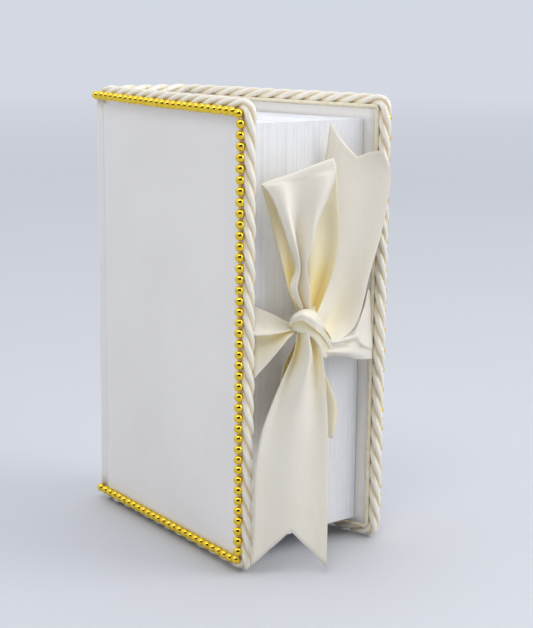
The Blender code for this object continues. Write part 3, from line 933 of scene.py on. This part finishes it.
KNOT_WRAP = (
    ((-2.2, -95.0, 83.0), (-4.2, -96.4, 83.6), (-5.6, -97.4, 83.2), (-5.6, -97.6, 82.2),
     (-5.0, -97.2, 82.0), (-4.2, -97.0, 80.6), (-2.0, -95.4, 79.8)),
    ((-2.2, -96.6, 85.0), (-4.8, -98.6, 86.0), (-6.0, -100.0, 85.4), (-5.4, -100.2, 84.4),
     (-4.8, -99.7, 84.0), (-3.8, -99.0, 81.0), (-1.0, -96.8, 80.0)),
    ((1.0, -97.6, 86.0), (-2.4, -100.0, 87.8), (-3.8, -101.6, 86.8), (-3.4, -101.8, 84.8),
     (-2.2, -101.0, 84.4), (-1.6, -100.4, 80.2), (1.2, -98.0, 79.2)),
    ((3.6, -98.0, 85.2), (0.8, -100.4, 87.6), (-0.8, -102.2, 85.6), (-0.6, -102.2, 83.0),
     (0.6, -101.5, 82.6), (0.8, -101.0, 79.0), (2.8, -98.6, 78.2)),
    ((5.0, -98.2, 83.4), (3.8, -100.4, 85.8), (2.2, -102.2, 83.6), (2.0, -102.2, 81.0),
     (3.0, -101.5, 80.8), (2.8, -101.0, 77.2), (3.6, -98.8, 77.0)),
    ((6.2, -98.0, 80.6), (6.4, -99.8, 82.6), (5.4, -101.2, 80.8), (5.2, -101.2, 78.6),
     (5.8, -100.6, 78.4), (5.2, -100.2, 74.4), (5.2, -98.4, 74.8)),
    ((7.0, -97.6, 77.2), (9.4, -98.8, 78.0), (8.8, -99.8, 76.6), (8.4, -99.8, 75.4),
     (8.8, -99.3, 75.0), (7.2, -99.2, 71.4), (6.8, -97.8, 72.6)),
    ((8.4, -96.8, 74.4), (11.8, -97.4, 74.4), (11.6, -98.0, 73.2), (11.0, -98.0, 72.4),
     (11.0, -97.7, 72.2), (9.2, -98.0, 70.2), (8.4, -97.0, 71.2)),
)


def pleated(sections, waves, phase, fold=1.0, inner=0.0):
    """A strip between two edge lines: where they draw in, it folds into pleats, as deep as its width
    calls for and each section allows.

    Also returns how much painted yellow each point gets, standing in for the light that gathers in creases,
    near the knot and, past the share `fold` of its length, by `inner` on the inside of a loop."""
    table = np.array([[*left, *right, deep] for left, right, deep in sections], float)
    table = catmull(table, ROWS_PER_SECTION)
    left, right, deep = table[:, 0:3], table[:, 3:6], table[:, 6]
    along = np.gradient((left + right) / 2, axis=0)
    across = right - left
    out = np.cross(across, along)
    out /= np.linalg.norm(out, axis=1)[:, None]
    shares = np.linspace(0.0, 1.0, PLEATED_COLUMNS)
    grid = np.zeros((len(table), PLEATED_COLUMNS, 3))
    painted_glow = np.zeros((len(table), PLEATED_COLUMNS))
    for row in range(len(table)):
        width = np.linalg.norm(across[row])
        slack = RIBBON_WIDTH ** 2 - width ** 2
        height = min(deep[row], math.sqrt(max(slack, 1.0)) / (4 * waves))
        wave = np.sin(2 * math.pi * waves * shares + phase) * height
        wave *= np.minimum(1.0, 6.0 * np.minimum(shares, 1 - shares) + 0.25)
        grid[row] = left[row] + across[row] * shares[:, None] + out[row] * wave[:, None]
        # Painted light: yellow for pleat valleys turned away from the camera, near the knot, and on a
        # loop's inner layer.
        valley_shade = np.clip(wave * out[row].dot(AHEAD) / 1.5, 0.0, 1.0)
        behind = inner if row > fold * len(table) else 0.0
        near = near_knot(grid[row])
        painted_glow[row] = np.clip(valley_shade * (0.1 + near) + behind * (0.7 + 0.6 * near) + 0.3 * near, 0.0, 1.0)
    return grid, painted_glow


def near_knot(points):
    """1 at the knot, fading over the next fifteen millimetres or so."""
    apart = np.sum((np.asarray(points) - KNOT_CENTRE) ** 2, axis=-1)
    return np.exp(-apart / 15.0 ** 2)


def notched(grid, notch):
    """Cuts a swallowtail into the strip's last rows: notch is its depth in millimetres."""
    steps = lengths_along(grid[:, grid.shape[1] // 2])
    begin = steps[-1] - 3.0 * notch
    cut = grid.copy()
    for column in range(grid.shape[1]):
        share = column / (grid.shape[1] - 1)
        reach = steps[-1] - notch * (1 - abs(2 * share - 1))
        for row, s in enumerate(steps):
            if s > begin:
                target = begin + (s - begin) * (reach - begin) / (steps[-1] - begin)
                cut[row, column] = [np.interp(target, steps, grid[:, column, k]) for k in range(3)]
    return cut


def ribbon_piece(name, grid, painted_glow, body, node):
    """A length of ribbon as one thin sheet; its flat length is taken along its middle."""
    steps = lengths_along(grid.mean(axis=1))
    width = grid.shape[1] - 1
    shape = Shape().rows(grid, uv_at=lambda row, column: (column / width, steps[row] / RIBBON_WIDTH))
    shape.painted_glow = np.asarray(painted_glow, np.float32).ravel()
    made = shape.piece(name, "ribbon")
    thicken(made, RIBBON_THICK, 0.0)
    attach(made, body)
    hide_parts(node)


def hand_folded(table, creases, per_row=7, per_column=5, gap=0.8):
    """A strip through rows of points that already hold its folds; what is left of its width turns
    under, a gap behind each edge.

    creases is the painted yellow at each point across it, from edge to edge, standing in for light gathered
    in the folds."""
    rows = []
    for row in catmull(np.array(table), per_row):
        used = np.linalg.norm(np.diff(row, axis=0), axis=1).sum()
        spare = min(max(RIBBON_WIDTH - used, 0.0) / 2, 0.8 * np.linalg.norm(row[0] - row[-1]))
        under = []
        for edge, inner in ((row[0], row[2]), (row[-1], row[-3])):
            inward = (inner - edge) / np.linalg.norm(inner - edge)
            under.append((edge + AHEAD * 0.6 * gap, edge + AHEAD * gap + inward * spare))
        rows.append(catmull([under[0][1], under[0][0], *row, under[1][0], under[1][1]], per_column))
    grid = np.array(rows)
    # Painted light: the crease values are spread across the strip and raised near the knot.
    at = np.linspace(-2.0, len(creases) + 1.0, grid.shape[1])
    painted_glow = np.interp(at, np.arange(len(creases)), creases)[None, :]
    near = near_knot(grid)
    return grid, np.clip(painted_glow * (0.3 + 0.8 * near) + 0.15 * near, 0.0, 1.0)


def bow():
    """The two loops, two tails and two leads, and the wrap of the knot over them."""
    grid, painted_glow = pleated(UPPER_LOOP, waves=1.5, phase=0.16, fold=0.58, inner=0.75)
    ribbon_piece("satin_upper_loop", grid, painted_glow, "bow", "upper_loop")
    grid, painted_glow = pleated(LOWER_LOOP, waves=1.5, phase=0.4, fold=0.0, inner=0.6)
    ribbon_piece("satin_lower_loop", grid, painted_glow, "bow", "lower_loop")
    grid, painted_glow = pleated(UPPER_TAIL, waves=1.0, phase=0.6)
    ribbon_piece("satin_upper_tail", notched(grid, 7.0), painted_glow, "bow", "upper_tail")
    grid, painted_glow = pleated(LOWER_TAIL, waves=1.5, phase=0.2)
    ribbon_piece("satin_lower_tail", notched(grid, 12.4), painted_glow, "bow", "lower_tail")
    # Each tuple after a folded table is the painted yellow across that strip, from edge to edge, where
    # light gathers in its creases.
    grid, painted_glow = hand_folded(BACK_LEAD, (0.2, 0, 0, 0.5, 0.3, 0, 0.2))
    ribbon_piece("satin_back_lead", grid, painted_glow, "bow", "back_ribbon_lead")
    grid, painted_glow = hand_folded(FRONT_LEAD, (0, 0, 0, 0.3, 1.2, 0.9, 0.2))
    ribbon_piece("satin_front_lead", grid, painted_glow, "front_cover", "front_ribbon_lead")
    grid, painted_glow = hand_folded(KNOT_WRAP, (1.0, 0.3, 0.05, 0.15, 0.9, 0.12, 0.8), 8, 8, 1.6)
    shares = np.linspace(0.0, 1.0, grid.shape[1])
    ripple = 0.22 * np.sin(2 * math.pi * 5.5 * shares + 1.0)
    grid -= AHEAD * ripple[None, :, None]
    ribbon_piece("satin_knot", grid, painted_glow, "bow", "ribbon_knot")


bow()


# ---------------------------------------------------------------- floor, light, camera

def floor():
    """A plain pale table top that fades into the haze, far enough to have no edge in view."""
    f = Finish("pale_table")
    f.colour(f.ramp(f.noise(1.6, 2.0), (0.3, (0.545, 0.56, 0.595)), (0.7, (0.57, 0.585, 0.62))))
    f.bump(f.noise(900.0, 3.0), 0.05, 0.0002)
    f.set("Roughness", 0.55)
    f.set("Specular IOR Level", 0.25)
    distance = f.add("ShaderNodeVectorMath", [(0, f.place)], operation="LENGTH").outputs["Value"]
    away = f.ramp(f.math("MULTIPLY", distance, 0.25), (0.12, (0, 0, 0)), (0.75, (1, 1, 1)))
    f.mixed_with(away, f.add("ShaderNodeEmission", [("Color", (*HAZE, 1.0))]))
    FINISH["floor"] = f.material
    low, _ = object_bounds()
    z = (low.z - FLOOR_GAP) / MM
    spread = np.linspace(-FLOOR_SIZE / 2 / MM, FLOOR_SIZE / 2 / MM, 24)
    rows = [[(x, y, z) for x in spread] for y in spread]
    made = Shape().rows(rows).piece("table_top", "floor")
    made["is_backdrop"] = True


def look_at(obj, target):
    obj.rotation_euler = (Vector(target) - obj.location).to_track_quat("-Z", "Y").to_euler()


def area_light(name, place, target, size, power, colour):
    data = bpy.data.lights.new(name, "AREA")
    data.shape = "RECTANGLE"
    data.size, data.size_y = size
    data.energy = power
    data.color = colour
    made = bpy.data.objects.new(name, data)
    bpy.context.scene.collection.objects.link(made)
    made.location = place
    look_at(made, target)
    return made


def lights():
    """A window on the right, light from above and from high in front, and fills that leave no glint."""
    target = (0.0, 0.0, 0.07)

    def toward(right, up, ahead):
        return tuple(np.array(target) + right * RIGHT + up * UP + ahead * AHEAD)

    area_light("window", toward(0.85, 0.46, -0.12), target, (0.6, 0.8), 3.8, (1.0, 0.985, 0.96))
    area_light("overhead", toward(0.15, 1.1, 0.35), target, (1.2, 1.0), 0.8, (1.0, 0.99, 0.98))
    area_light("front_high", toward(-0.15, 0.95, -0.60), target, (0.35, 0.35), 2.5, (1.0, 0.99, 0.97))
    fills = (("fill_front", toward(0.05, 0.05, -1.0), 1.9), ("fill_left", toward(-1.2, 0.7, 0.1), 1.0))
    for name, place, power in fills:
        fill = area_light(name, place, target, (1.2, 1.2), power, (1.0, 0.985, 0.955))
        fill.visible_glossy = False


def world():
    """Haze low down and a pale sky, with a dark patch round the camera for shiny things to mirror."""
    made = bpy.data.worlds.new("studio")
    bpy.context.scene.world = made
    made.use_nodes = True
    tree = made.node_tree
    place = tree.nodes.new("ShaderNodeTexCoord").outputs["Generated"]
    facing = tree.nodes.new("ShaderNodeVectorMath")
    facing.operation = "DOT_PRODUCT"
    front = -AHEAD + RIGHT * 0.06 + UP * 0.12
    facing.inputs[1].default_value = tuple(front / np.linalg.norm(front))
    tree.links.new(place, facing.inputs[0])
    patch = tree.nodes.new("ShaderNodeValToRGB")
    fill_ramp(patch, ((0.66, (1.0, 1.0, 1.0)), (0.73, (0.30, 0.27, 0.25)), (0.79, (0.01, 0.01, 0.012))))
    tree.links.new(facing.outputs["Value"], patch.inputs[0])
    height = tree.nodes.new("ShaderNodeSeparateXYZ")
    tree.links.new(place, height.inputs[0])
    sky = tree.nodes.new("ShaderNodeValToRGB")
    fill_ramp(sky, ((0.08, HAZE), (0.50, (0.98, 1.0, 1.06))))
    tree.links.new(height.outputs["Z"], sky.inputs[0])
    both = tree.nodes.new("ShaderNodeVectorMath")
    both.operation = "MULTIPLY"
    tree.links.new(sky.outputs[0], both.inputs[0])
    tree.links.new(patch.outputs[0], both.inputs[1])
    background = tree.nodes["Background"]
    tree.links.new(both.outputs[0], background.inputs[0])
    background.inputs[1].default_value = 1.0


def camera():
    data = bpy.data.cameras.new("camera")
    data.sensor_fit = "HORIZONTAL"
    data.sensor_width = 36.0
    data.lens = LENS
    data.clip_start, data.clip_end = 0.01, 50.0
    made = bpy.data.objects.new("camera", data)
    bpy.context.scene.collection.objects.link(made)
    forward = AHEAD * math.cos(PITCH) - UP * math.sin(PITCH)
    upward = AHEAD * math.sin(PITCH) + UP * math.cos(PITCH)
    right = math.cos(ROLL) * RIGHT + math.sin(ROLL) * upward
    upward = math.cos(ROLL) * upward - math.sin(ROLL) * RIGHT
    turn = Matrix(np.stack([right, upward, -forward], axis=1).tolist()).to_4x4()
    made.matrix_world = Matrix.Translation(tuple(row_frame(CAMERA_PLACE))) @ turn
    bpy.context.scene.camera = made


floor()
lights()
world()
camera()
bpy.context.scene.view_settings.view_transform = "Standard"
